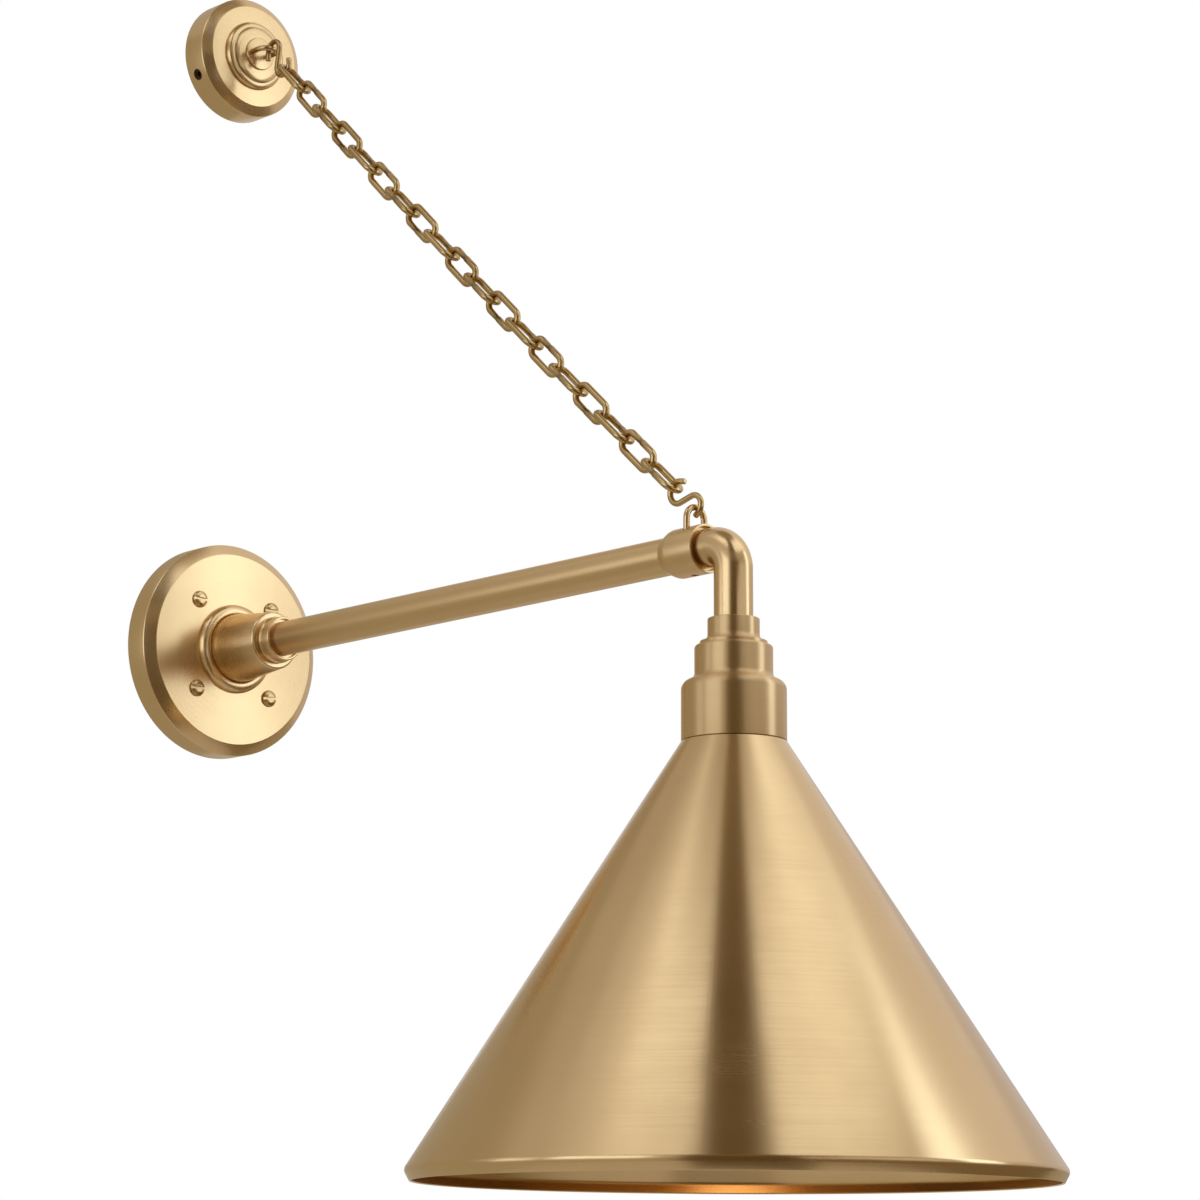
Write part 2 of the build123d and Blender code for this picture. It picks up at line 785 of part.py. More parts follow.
def chain():
    """Both S-hooks, and the links strung between them with a slight sag."""
    nodes = {}
    upper_eye = Vector(-boss_eye_depth, boss_height)
    lower_eye = Vector(-eye_depth, coupling_eye_height())
    up_chain = (upper_eye - lower_eye).normalized()
    seat = eye_wire_radius + hook_wire_radius + free_gap

    upper_bend = upper_eye - up_chain * (hook_eye_radius - seat)
    upper_offset = Vector(*upper_hook_offset)
    heading, run = crossing_line(upper_hook_offset, hook_eye_radius, hook_link_radius, 1)
    heading %= 360
    start = upper_bend + Vector(hook_eye_radius, -upper_tip_run)
    path = bent_wire(
        (start.X, start.Y),
        90,
        [
            ("run", upper_tip_run),
            ("turn", hook_eye_radius, heading - 90),
            ("run", run),
            ("turn", hook_link_radius, upper_end_heading - heading),
            ("run", upper_end_run),
        ],
    )
    nodes["s_hook_upper"] = round_wire(path, hook_wire_radius)

    lower_bend = lower_eye + up_chain * (hook_eye_radius - seat)
    lower_offset = Vector(*lower_hook_offset)
    heading, run = crossing_line(lower_hook_offset, hook_eye_radius, hook_link_radius, -1)
    tail = math.radians(lower_tail_heading)
    outward = Vector(-math.sin(tail), math.cos(tail))
    along = Vector(math.cos(tail), math.sin(tail))
    start = lower_bend + outward * hook_eye_radius - along * lower_tail_run
    path = bent_wire(
        (start.X, start.Y),
        lower_tail_heading,
        [
            ("run", lower_tail_run),
            ("turn", hook_eye_radius, heading - lower_tail_heading),
            ("run", run),
            ("turn", hook_link_radius, lower_end_heading - heading),
            ("run", lower_end_run),
        ],
    )
    nodes["s_hook_lower"] = round_wire(path, hook_wire_radius)

    # The chain is measured from the inside of one hook's bend to the inside of the other's.
    # A link's own opening is longer than its share by the play.
    reach = hook_link_radius - hook_wire_radius
    first = upper_bend + upper_offset - up_chain * reach
    last = lower_bend + lower_offset + up_chain * reach
    span = (last - first).length
    # An odd number of links leaves the first and the last crosswise to their hooks.
    count = max(2 * round((span / link_inner_length - 1) / 2) + 1, 3)
    below = Vector(up_chain.Y, -up_chain.X)

    def station(share):
        return first + (last - first) * share + below * (4 * chain_sag * share * (1 - share))

    stations = [station(i / count) for i in range(count + 1)]
    for i in range(count):
        top, bottom = stations[i], stations[i + 1]
        middle = (top + bottom) * 0.5
        along = (bottom - top).normalized()
        inner_length = (bottom - top).length + link_play
        twist = math.radians(chain_twist * (1 - (i + 0.5) / count))
        across = Vector(0, along.Y, -along.X)
        level = Vector(math.cos(twist), 0, 0) - across * math.sin(twist)
        upright = across * math.cos(twist) + Vector(math.sin(twist), 0, 0)
        flat = upright if i % 2 == 0 else level
        nodes[f"chain_link_{i + 1:02d}"] = chain_link(
            (0, middle.X, middle.Y), (0, along.X, along.Y), flat, inner_length
        )
    return nodes


# ---- Write every piece -----------------------------------------------------------------

os.makedirs("parts", exist_ok=True)
for build in (wall_end, arm, elbow, cup, lamp_holder, lamp, shade, boss, chain):
    for name, piece in build().items():
        export_step(piece, f"parts/{name}.step")
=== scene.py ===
import math

import bmesh
import bpy
from mathutils import Matrix, Vector


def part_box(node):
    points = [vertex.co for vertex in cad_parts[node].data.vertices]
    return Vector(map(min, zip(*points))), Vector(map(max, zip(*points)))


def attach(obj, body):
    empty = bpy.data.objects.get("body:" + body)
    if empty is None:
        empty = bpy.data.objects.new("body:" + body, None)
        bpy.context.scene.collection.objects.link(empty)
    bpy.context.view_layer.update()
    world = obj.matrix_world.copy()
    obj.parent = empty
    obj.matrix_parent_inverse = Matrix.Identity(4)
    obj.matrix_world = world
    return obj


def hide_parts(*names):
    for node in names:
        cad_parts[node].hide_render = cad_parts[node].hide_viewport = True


# A brass wall sconce: round backplate, straight arm, elbow, tiered cup and a spun cone shade,
# with a chain from the end of the arm up to a small boss on the wall.
#
# Sizes are in millimetres and are scaled to metres when a piece is placed. "Depth" is a
# distance out from the wall, and heights are above the arm's axis.

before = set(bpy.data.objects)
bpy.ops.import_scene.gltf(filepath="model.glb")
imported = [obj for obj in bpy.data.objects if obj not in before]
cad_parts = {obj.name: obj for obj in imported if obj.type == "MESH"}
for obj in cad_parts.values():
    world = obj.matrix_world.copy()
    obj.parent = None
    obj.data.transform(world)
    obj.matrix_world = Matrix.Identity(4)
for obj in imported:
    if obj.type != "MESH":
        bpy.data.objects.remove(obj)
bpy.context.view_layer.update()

MM = 0.001
QUARTER = math.pi / 2
SHADE_DEPTH = 445.0
EYE_DEPTH = 417.0
BOSS_HEIGHT = 379.1
SHADE_AXIS = Matrix.Translation((0, -SHADE_DEPTH * MM, 0)) @ Matrix.Scale(MM, 4)
EYE_AXIS = Matrix.Translation((0, -EYE_DEPTH * MM, 0)) @ Matrix.Scale(MM, 4)
ARM_AXIS = Matrix.Rotation(QUARTER, 4, "X") @ Matrix.Scale(MM, 4)
BOSS_AXIS = Matrix.Translation((0, 0, BOSS_HEIGHT * MM)) @ ARM_AXIS

# Edges sharper than these, in degrees, stay crisp on turned pieces and on bent rods.
CRISP_TURNED, CRISP_ROD = 32, 50

# ---- Mesh tools -------------------------------------------------------------------------


def in_scene(name, data):
    """A new object that holds this mesh, light or lens."""
    made = bpy.data.objects.new(name, data)
    bpy.context.scene.collection.objects.link(made)
    return made


def mesh_object(bm, name):
    """A new object made of a finished bmesh."""
    mesh = bpy.data.meshes.new(name)
    bm.to_mesh(mesh)
    bm.free()
    return in_scene(name, mesh)


def axes_turn(x_axis, y_axis, z_axis):
    """The turn whose three axes point these ways."""
    return Matrix([[x_axis[i], y_axis[i], z_axis[i], 0] for i in range(3)] + [[0, 0, 0, 1]])


def rounding_steps(rounding):
    """The steps in a rounded corner: the larger its radius, the more it needs."""
    if rounding <= 1:
        return 4
    return 8 if rounding <= 3 else 14


def wire_outline(bm, corners, closed):
    """A wire outline in the plane Y = 0 from corners (x, z) or (x, z, rounding)."""
    verts = [bm.verts.new((corner[0], 0, corner[1])) for corner in corners]
    pairs = list(zip(verts, verts[1:] + verts[:1]))
    for pair in pairs if closed else pairs[:-1]:
        bm.edges.new(pair)
    for vert, corner in zip(verts, corners):
        if len(corner) < 3:
            continue
        arms = [edge.other_vert(vert).co - vert.co for edge in vert.link_edges]
        turn = math.pi - arms[0].angle(arms[1])
        bmesh.ops.bevel(
            bm,
            geom=[vert],
            offset=corner[2] * math.tan(turn / 2),
            offset_type="OFFSET",
            segments=rounding_steps(corner[2]),
            profile=0.5,
            affect="VERTICES",
            material=-1,
        )


def finished(bm, name, body, nodes, crisp=CRISP_TURNED):
    """The piece made of a finished bmesh: it rides on a body and stands for CAD nodes."""
    piece = mesh_object(bm, name)
    piece.data.shade_smooth()
    piece.data.set_sharp_from_angle(angle=math.radians(crisp))
    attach(piece, body)
    if nodes:
        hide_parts(*nodes)
    return piece


def turned(name, corners, place, slot, body, *nodes, closed=True, steps=192):
    """A piece turned on a lathe, from the corners (radius, distance along its axis)."""
    bm = bmesh.new()
    wire_outline(bm, corners, closed)
    bmesh.ops.spin(
        bm,
        geom=bm.verts[:] + bm.edges[:],
        cent=(0, 0, 0),
        axis=(0, 0, 1),
        dvec=(0, 0, 0),
        angle=2 * math.pi,
        steps=steps,
        use_merge=True,
        use_normal_flip=False,
        use_duplicate=False,
    )
    bmesh.ops.remove_doubles(bm, verts=bm.verts, dist=1e-3)
    bmesh.ops.recalc_face_normals(bm, faces=bm.faces)
    bm.transform(place)
    return finished(bm, name, body, nodes)


def rounded_rod(bm, start, heading, moves, radius, around=24, arc_step=7.5, closed=False):
    """Round stock bent in the plane X = 0, with a UV map of (length along, turn around).

    Moves are ("run", length), ("turn", radius, angle) or ("neck", share of the radius), and
    the heading is in degrees from +Y towards +Z.
    """
    first = bmesh.ops.create_circle(bm, segments=around, radius=radius, cap_ends=False)["verts"]
    point = Vector((0, start[0], start[1]))
    lean = Matrix.Rotation(math.radians(heading - 90), 4, "X")
    bmesh.ops.transform(bm, matrix=Matrix.Translation(point) @ lean, verts=first)
    ring = list({edge for vert in first for edge in vert.link_edges})
    first_ring = ring[:]
    centreline = []
    length = 0.0
    for move in moves:
        angle = math.radians(heading)
        along = Vector((0, math.cos(angle), math.sin(angle)))
        left = Vector((0, -math.sin(angle), math.cos(angle)))
        if move[0] == "neck":
            verts = list({vert for edge in ring for vert in edge.verts})
            for vert in verts:
                vert.co = point + (vert.co - point) * move[1]
            continue
        if move[0] == "run":
            made = bmesh.ops.extrude_edge_only(bm, edges=ring)["geom"]
            verts = [item for item in made if isinstance(item, bmesh.types.BMVert)]
            bmesh.ops.translate(bm, verts=verts, vec=along * move[1])
            centreline.append(("run", point.copy(), along, left, move[1], length))
            point += along * move[1]
            length += move[1]
        else:
            side = math.copysign(1, move[2])
            centre = point + left * (move[1] * side)
            turn = math.radians(move[2])
            made = bmesh.ops.spin(
                bm,
                geom=list({vert for edge in ring for vert in edge.verts}) + ring,
                cent=centre,
                axis=(1, 0, 0),
                dvec=(0, 0, 0),
                angle=turn,
                steps=max(3, math.ceil(abs(move[2]) / arc_step)),
                use_merge=False,
                use_normal_flip=False,
                use_duplicate=False,
            )["geom_last"]
            centreline.append(("turn", centre, point - centre, side, abs(turn), length, move[1]))
            point = centre + Matrix.Rotation(turn, 3, "X") @ (point - centre)
            heading += move[2]
            length += move[1] * abs(turn)
        # The newest ring's edges have both ends among the newest points.
        ends = {item for item in made if isinstance(item, bmesh.types.BMVert)}
        edges = [item for item in made if isinstance(item, bmesh.types.BMEdge)]
        ring = [edge for edge in edges if ends.issuperset(edge.verts)]
    if closed:
        bmesh.ops.remove_doubles(bm, verts=bm.verts, dist=1e-2)
    else:
        for end in (first_ring, ring):
            cap = bmesh.ops.edgeloop_fill(bm, edges=end)["faces"]
            bmesh.ops.bevel(
                bm,
                geom=[edge for face in cap for edge in face.edges],
                offset=radius * 0.3,
                offset_type="OFFSET",
                segments=3,
                profile=0.5,
                affect="EDGES",
                material=-1,
            )
    bmesh.ops.recalc_face_normals(bm, faces=bm.faces)
    lay_along(bm, centreline, length)


def lay_along(bm, centreline, length):
    """The UV map of a bent rod: metres along it, and the share of a turn around it."""
    layer = bm.loops.layers.uv.new("along")

    def place(co):
        best = None
        for part in centreline:
            if part[0] == "run":
                _, start, along, left, run, at = part
                share = min(max((co - start).dot(along), 0), run)
                offset = co - (start + along * share)
                found = (offset.length, at + share, math.atan2(offset.dot(left), offset.x))
            else:
                _, centre, spoke, side, turn, at, radius = part
                flat = Vector((0, co.y - centre.y, co.z - centre.z))
                swing = math.atan2(spoke.cross(flat).x * side, spoke.dot(flat))
                swing = min(max(swing, 0), turn)
                outward = Matrix.Rotation(swing * side, 3, "X") @ spoke.normalized()
                offset = co - (centre + outward * radius)
                around = math.atan2(-offset.dot(outward) * side, offset.x)
                found = (offset.length, at + swing * radius, around)
            if best is None or found[0] < best[0] - 1e-4:
                best = found
        return best[1], best[2] / (2 * math.pi)

    spots = {vert: place(vert.co) for vert in bm.verts}
    for face in bm.faces:
        first_u, first_v = spots[face.loops[0].vert]
        for loop in face.loops:
            u, v = spots[loop.vert]
            if abs(u - first_u) > length / 2:
                u -= round((u - first_u) / length) * length
            v -= round(v - first_v)
            loop[layer].uv = (u * MM, v)


def bent_rod(name, path, place, slot, body, *nodes, **options):
    """A piece of round stock, from a path (start, heading, moves, radius)."""
    bm = bmesh.new()
    rounded_rod(bm, *path, **options)
    bm.transform(place)
    return finished(bm, name, body, nodes, CRISP_ROD)


def drill_bit(radius, length, place, sides=32):
    """A round or six-sided cutter that runs from 0 to its length along the place's Z."""
    bm = bmesh.new()
    bmesh.ops.create_cone(
        bm, cap_ends=True, segments=sides, radius1=radius, radius2=radius, depth=length
    )
    bm.transform(place @ Matrix.Translation((0, 0, length / 2)))
    return mesh_object(bm, "cutter")


def saw_blade(width, depth, length, place):
    """A box cutter: length along X, depth along Z from 0 down, width along Y."""
    bm = bmesh.new()
    bmesh.ops.create_cube(bm, size=1)
    bmesh.ops.scale(bm, vec=(length, width, 2 * depth), verts=bm.verts)
    bm.transform(place)
    return mesh_object(bm, "cutter")


def cut(piece, *cutters):
    """Takes the cutters out of a piece."""
    for cutter in cutters:
        bite = piece.modifiers.new("bite", "BOOLEAN")
        bite.operation = "DIFFERENCE"
        bite.solver = "EXACT"
        bite.object = cutter
    graph = bpy.context.evaluated_depsgraph_get()
    mesh = bpy.data.meshes.new_from_object(piece.evaluated_get(graph))
    piece.modifiers.clear()
    piece.data = mesh
    mesh.set_sharp_from_angle(angle=math.radians(CRISP_TURNED))
    for cutter in cutters:
        bpy.data.objects.remove(cutter)


# ---- Shared effects ---------------------------------------------------------------------


def new_group(name, inputs, outputs):
    """An empty node group with named sockets: (kind, name) or (kind, name, default)."""
    group = bpy.data.node_groups.new(name, "ShaderNodeTree")
    for direction, sockets in (("INPUT", inputs), ("OUTPUT", outputs)):
        for kind, label, *default in sockets:
            socket = group.interface.new_socket(
                name=label, in_out=direction, socket_type=f"NodeSocket{kind}"
            )
            if default:
                socket.default_value = default[0]
    return group, group.nodes.new("NodeGroupInput"), group.nodes.new("NodeGroupOutput")


class Wiring:
    """Short ways to place and join the nodes of one tree."""

    def __init__(self, tree):
        self.tree = tree

    def node(self, kind, **settings):
        made = self.tree.nodes.new(kind)
        for key, value in settings.items():
            setattr(made, key, value)
        return made

    def join(self, source, target):
        self.tree.links.new(source, target)

    def feed(self, target, value):
        if isinstance(value, bpy.types.NodeSocket):
            self.join(value, target)
        else:
            target.default_value = value

    def maths(self, operation, *values):
        made = self.node("ShaderNodeMath", operation=operation)
        for socket, value in zip(made.inputs, values):
            self.feed(socket, value)
        return made.outputs[0]

    def vector(self, operation, *values):
        made = self.node("ShaderNodeVectorMath", operation=operation)
        for socket, value in zip(made.inputs, values):
            self.feed(socket, value)
        return made.outputs["Value" if operation in ("LENGTH", "DOT_PRODUCT") else "Vector"]

    def combine(self, x, y, z):
        made = self.node("ShaderNodeCombineXYZ")
        for socket, value in zip(made.inputs, (x, y, z)):
            self.feed(socket, value)
        return made.outputs[0]

    def noise(self, vector, scale, detail=2.0, roughness=0.5, w=None):
        made = self.node("ShaderNodeTexNoise", noise_dimensions="3D" if w is None else "4D")
        self.feed(made.inputs["Vector"], vector)
        if w is not None:
            self.feed(made.inputs["W"], w)
        self.feed(made.inputs["Scale"], scale)
        made.inputs["Detail"].default_value = detail
        made.inputs["Roughness"].default_value = roughness
        return made.outputs["Fac"]

    def span(self, value, low, high, new_low, new_high):
        made = self.node("ShaderNodeMapRange", clamp=True)
        for socket, item in zip(made.inputs, (value, low, high, new_low, new_high)):
            self.feed(socket, item)
        return made.outputs[0]

    def mix(self, share, first, second, blend="MIX"):
        made = self.node("ShaderNodeMix", data_type="RGBA", blend_type=blend)
        self.feed(made.inputs["Factor"], share)
        self.feed(made.inputs["A"], first)
        self.feed(made.inputs["B"], second)
        return made.outputs["Result"]


BAND_SHARE = 0.09
MARK_SOCKETS = [("Float", "Lines per metre", 1500.0), ("Float", "Breaks", 2.0)]
MARK_RESULTS = [("Float", "Marks"), ("Float", "Bands")]


def lathe_marks_group():
    """Fine rings left by the brush on a turned piece, whose axis is local Z."""
    group, given, result = new_group(
        "Lathe marks", [("Vector", "Vector"), *MARK_SOCKETS], MARK_RESULTS
    )
    w = Wiring(group)
    flat = w.vector("MULTIPLY", given.outputs["Vector"], (1.0, 1.0, 0.0))
    radius = w.vector("LENGTH", flat)
    spoke = w.node("ShaderNodeSeparateXYZ")
    w.join(w.vector("NORMALIZE", flat), spoke.inputs[0])
    height = w.node("ShaderNodeSeparateXYZ")
    w.join(given.outputs["Vector"], height.inputs[0])
    breaks = given.outputs["Breaks"]
    lines = given.outputs["Lines per metre"]
    for output, share in (("Marks", 1.0), ("Bands", BAND_SHARE)):
        pitch = w.maths("MULTIPLY", lines, share)
        spot = w.combine(
            w.maths("MULTIPLY", spoke.outputs[0], breaks),
            w.maths("MULTIPLY", spoke.outputs[1], breaks),
            w.maths("MULTIPLY", height.outputs[2], pitch),
        )
        streaks = w.noise(spot, 1.0, 3.0, 0.6, w.maths("MULTIPLY", radius, pitch))
        w.join(streaks, result.inputs[output])
    return group


def drawn_marks_group():
    """Fine marks across a rod, from its UV map of metres along and share of a turn."""
    group, given, result = new_group(
        "Rod marks", [("Vector", "Along"), *MARK_SOCKETS], MARK_RESULTS
    )
    w = Wiring(group)
    parts = w.node("ShaderNodeSeparateXYZ")
    w.join(given.outputs["Along"], parts.inputs[0])
    turn = w.maths("MULTIPLY", parts.outputs[1], 2 * math.pi)
    breaks = given.outputs["Breaks"]
    for output, share in (("Marks", 1.0), ("Bands", BAND_SHARE)):
        pitch = w.maths("MULTIPLY", given.outputs["Lines per metre"], share)
        spot = w.combine(
            w.maths("MULTIPLY", w.maths("COSINE", turn), breaks),
            w.maths("MULTIPLY", w.maths("SINE", turn), breaks),
            w.maths("MULTIPLY", parts.outputs[0], pitch),
        )
        streaks = w.noise(spot, 1.0, 3.0, 0.6)
        w.join(streaks, result.inputs[output])
    return group


def patina_group():
    """Clouds of slight tarnish, and small specks in them, as masks from 0 to 1."""
    group, given, result = new_group(
        "Patina",
        [("Vector", "Vector"), ("Float", "Clouds per metre", 14.0)],
        [("Float", "Clouds"), ("Float", "Specks")],
    )
    w = Wiring(group)
    size = given.outputs["Clouds per metre"]
    clouds = w.noise(given.outputs["Vector"], size, 4.0, 0.55)
    w.join(w.span(clouds, 0.35, 0.7, 0.0, 1.0), result.inputs["Clouds"])
    specks = w.noise(given.outputs["Vector"], w.maths("MULTIPLY", size, 45.0), 2.0, 0.5)
    w.join(w.span(specks, 0.66, 0.76, 0.0, 1.0), result.inputs["Specks"])
    return group


LATHE_MARKS = lathe_marks_group()
ROD_MARKS = drawn_marks_group()
PATINA = patina_group()

# ---- Materials --------------------------------------------------------------------------

BRASS = (0.80, 0.575, 0.30, 1.0)
BRASS_TARNISHED = (0.70, 0.475, 0.22, 1.0)
BRASS_WIRE = (0.66, 0.475, 0.215, 1.0)
BRASS_WIRE_DARK = (0.40, 0.255, 0.09, 1.0)


def new_material(name):
    """A material with its Principled shader, and the wiring of its tree."""
    material = bpy.data.materials.new(name)
    material.use_nodes = True
    return material, Wiring(material.node_tree), material.node_tree.nodes["Principled BSDF"]


def brass(
    name,
    axis=None,
    *,
    rough,
    tarnish,
    light=BRASS,
    dark=BRASS_TARNISHED,
    marks=1.0,
    lines=1500.0,
    smear=0.0,
):
    """Satin brass brushed on the lathe about an axis (place, turn), or along a rod's UV map.

    The brush draws reflections out across its marks, by the smear.
    """
    material, w, shader = new_material(name)
    spot = w.node("ShaderNodeTexCoord")
    if axis:
        local = w.node("ShaderNodeMapping", vector_type="TEXTURE")
        local.inputs["Location"].default_value = axis[0]
        local.inputs["Rotation"].default_value = axis[1]
        w.join(spot.outputs["Object"], local.inputs["Vector"])
        brushed = w.node("ShaderNodeGroup", node_tree=LATHE_MARKS)
        w.join(local.outputs[0], brushed.inputs["Vector"])
        spoke = w.vector("SUBTRACT", spot.outputs["Object"], axis[0])
        spindle = (0.0, 1.0, 0.0) if axis[1][0] else (0.0, 0.0, 1.0)
        around = w.vector("CROSS_PRODUCT", spindle, spoke)
        to_world = w.node(
            "ShaderNodeVectorTransform",
            vector_type="VECTOR",
            convert_from="OBJECT",
            convert_to="WORLD",
        )
        w.join(w.vector("NORMALIZE", around), to_world.inputs[0])
        w.join(to_world.outputs[0], shader.inputs["Tangent"])
        shader.inputs["Anisotropic"].default_value = smear
        shader.inputs["Anisotropic Rotation"].default_value = 0.25
    else:
        brushed = w.node("ShaderNodeGroup", node_tree=ROD_MARKS)
        w.join(spot.outputs["UV"], brushed.inputs["Along"])
    brushed.inputs["Lines per metre"].default_value = lines
    aged = w.node("ShaderNodeGroup", node_tree=PATINA)
    w.join(spot.outputs["Object"], aged.inputs["Vector"])
    specks = w.maths("MULTIPLY", aged.outputs["Specks"], 0.25 * tarnish)
    bands = w.span(brushed.outputs["Bands"], 0.3, 0.7, -0.05, 0.05)
    streaks = w.span(brushed.outputs["Marks"], 0.3, 0.7, -0.05 * marks, 0.05 * marks)
    darkening = w.maths("MULTIPLY", aged.outputs["Clouds"], tarnish)
    for layer in (specks, bands, streaks):
        darkening = w.maths("ADD", darkening, layer)
    w.join(w.mix(w.span(darkening, 0.0, 1.0, 0.0, 1.0), light, dark), shader.inputs["Base Color"])
    grain = w.span(brushed.outputs["Marks"], 0.25, 0.75, rough - 0.02 * marks, rough + 0.02 * marks)
    dulling = w.maths("MULTIPLY", aged.outputs["Clouds"], 0.05)
    w.join(w.maths("ADD", grain, dulling), shader.inputs["Roughness"])
    shader.inputs["Metallic"].default_value = 1.0
    bump = w.node("ShaderNodeBump")
    bump.inputs["Strength"].default_value = 0.02 * marks
    bump.inputs["Distance"].default_value = 0.0002
    w.join(brushed.outputs["Marks"], bump.inputs["Height"])
    w.join(bump.outputs[0], shader.inputs["Normal"])
    return material


CLOUDS_PER_METRE, CLOUD_DEPTH = 300.0, 0.12


def plain(name, colour, rough, metallic=0.0):
    """A plain finish with a slight variation of colour and gloss."""
    material, w, shader = new_material(name)
    spot = w.node("ShaderNodeTexCoord")
    cloud = w.noise(spot.outputs["Object"], CLOUDS_PER_METRE, 3.0)
    darker = tuple(channel * (1 - CLOUD_DEPTH) for channel in colour[:3]) + (1.0,)
    w.join(w.mix(w.span(cloud, 0.3, 0.7, 0.0, 1.0), colour, darker), shader.inputs["Base Color"])
    w.join(w.span(cloud, 0.3, 0.7, rough - 0.04, rough + 0.04), shader.inputs["Roughness"])
    shader.inputs["Metallic"].default_value = metallic
    return material


ON_ARM = ((0, 0, 0), (QUARTER, 0, 0))
ON_BOSS = ((0, 0, BOSS_HEIGHT * MM), (QUARTER, 0, 0))
ON_SHADE = ((0, -SHADE_DEPTH * MM, 0), (0, 0, 0))

plate_brass = brass("Satin brass plate", ON_ARM, rough=0.24, tarnish=0.12, marks=0.6, smear=0.5)
arm_brass = brass("Satin brass arm", ON_ARM, rough=0.33, tarnish=0.22, smear=0.4)
boss_brass = brass("Satin brass boss", ON_BOSS, rough=0.24, tarnish=0.25, marks=0.5, smear=0.5)
cup_brass = brass("Satin brass cup", ON_SHADE, rough=0.37, tarnish=0.2, smear=0.92)
shade_brass = brass("Satin brass shade", ON_SHADE, rough=0.22, tarnish=0.25, lines=900.0, smear=0.8)
elbow_brass = brass("Satin brass elbow", rough=0.22, tarnish=0.3)
wire_brass = brass("Dull brass wire", light=BRASS_WIRE, dark=BRASS_WIRE_DARK, rough=0.24, tarnish=0.7)
eye_brass = brass("Brass wire eye", light=BRASS, dark=BRASS_WIRE_DARK, rough=0.2, tarnish=0.5)
screw_brass = brass(
    "Plain brass screw", ON_ARM, light=BRASS, dark=BRASS_WIRE_DARK, rough=0.22, tarnish=0.9
)
zinc = plain("Zinc plated steel", (0.62, 0.63, 0.64, 1.0), 0.35, 1.0)
# The grub screws' near-black colour is painted shade: it stands for the shade in the holes they sit in.
screw_dark_for_hole_shade = plain("Screw painted dark for the shade of its hole", (0.075, 0.045, 0.022, 1.0), 0.38, 0.9)
porcelain = plain("White glazed porcelain", (0.86, 0.85, 0.81, 1.0), 0.16)
lamp_metal = plain("Rolled lamp base", (0.80, 0.80, 0.81, 1.0), 0.25, 1.0)

lamp_glass, wires, lamp_shader = new_material("Pearl lamp glass, lit")
haze = wires.noise(wires.node("ShaderNodeTexCoord").outputs["Object"], 30.0, 2.0)
warm_light = wires.mix(haze, (1.0, 0.56, 0.24, 1.0), (1.0, 0.64, 0.32, 1.0))
wires.join(warm_light, lamp_shader.inputs["Emission Color"])
lamp_shader.inputs["Base Color"].default_value = (0.95, 0.90, 0.82, 1.0)
lamp_shader.inputs["Roughness"].default_value = 0.4
lamp_shader.inputs["Emission Strength"].default_value = 1.6

# ---- Wall end -----------------------------------------------------------------------------

FACE = 19.9
SCREW_SPREAD = 27
SCREW_HEAD = 2.7
SLOT_WIDTH, SLOT_DEPTH, SLOT_LENGTH = 1.6, 1.35, 14

backplate = turned(
    "Backplate",
    [(5.1, FACE), (57.8, FACE, 0.8), (64.3, 15.4, 1.0), (64.3, 0, 0.3), (62.8, 0, 0.3),
     (62.8, 14.6, 0.5), (57.3, 18.4, 0.5), (5.1, 18.4)],
    ARM_AXIS, "satin_brass", "root", "backplate",
)
backplate.data.materials.append(plate_brass)

# Each screw stopped with its slot at a slightly different angle.
for number, (side, rise, tilt) in enumerate([(-1, 1, -3), (1, 1, 2), (-1, -1, 1), (1, -1, 4)], 1):
    here = ARM_AXIS @ Matrix.Translation((side * SCREW_SPREAD, rise * SCREW_SPREAD, FACE))
    here = here @ Matrix.Rotation(math.radians(tilt), 4, "Z")
    screw = turned(
        f"Face_screw_{number}",
        [(0, -12), (2, -12, 0.3), (2, 0), (5.1, 0.0), (5.1, 0.6, 0.2), (4.6, 1.7, 1.2),
         (2.8, 2.6, 1.5), (0, SCREW_HEAD)],
        here, "screw_brass", "root", "plate_screws", closed=False, steps=64,
    )
    slot_place = here @ Matrix.Translation((0, 0, SCREW_HEAD))
    cut(screw, saw_blade(SLOT_WIDTH, SLOT_DEPTH, SLOT_LENGTH, slot_place))
    screw.data.materials.append(screw_brass)

hub_parts = {
    "hub_ring": [(20.7, FACE), (26.9, FACE, 0.2), (26.9, 24.6, 4.4), (20.7, 24.6, 1.3)],
    "hub": [(5.05, FACE), (20.6, FACE), (20.6, 24.6), (17.1, 60.0, 1.4), (10.15, 60.0),
            (10.15, 34.8), (5.05, 34.8)],
    "hub_collar": [(10.15, 60.0), (14.0, 60.0, 0.2), (14.0, 62.7, 0.5), (13.2, 63.5), (13.2, 69.5, 0.7),
                   (11.7, 69.5, 0.2), (11.7, 67.5), (10.15, 67.5)],
}
for node, corners in hub_parts.items():
    part = turned(node.capitalize(), corners, ARM_AXIS, "satin_brass", "root", node)
    part.data.materials.append(plate_brass)

arm_tube = turned(
    "Arm_tube",
    [(8.9, 34.9), (10.1, 34.9, 0.2), (10.1, 411.0, 0.2), (8.9, 411.0)],
    ARM_AXIS, "satin_brass", "root", "arm_tube",
)
arm_tube.data.materials.append(arm_brass)

EYE_BEND = 6.4
EYE_WIRE = 1.75
EYE_HOLE = EYE_WIRE + 0.15
SET_SCREW_RADIUS = 2.0
SET_SCREW_LENGTH = 2.3

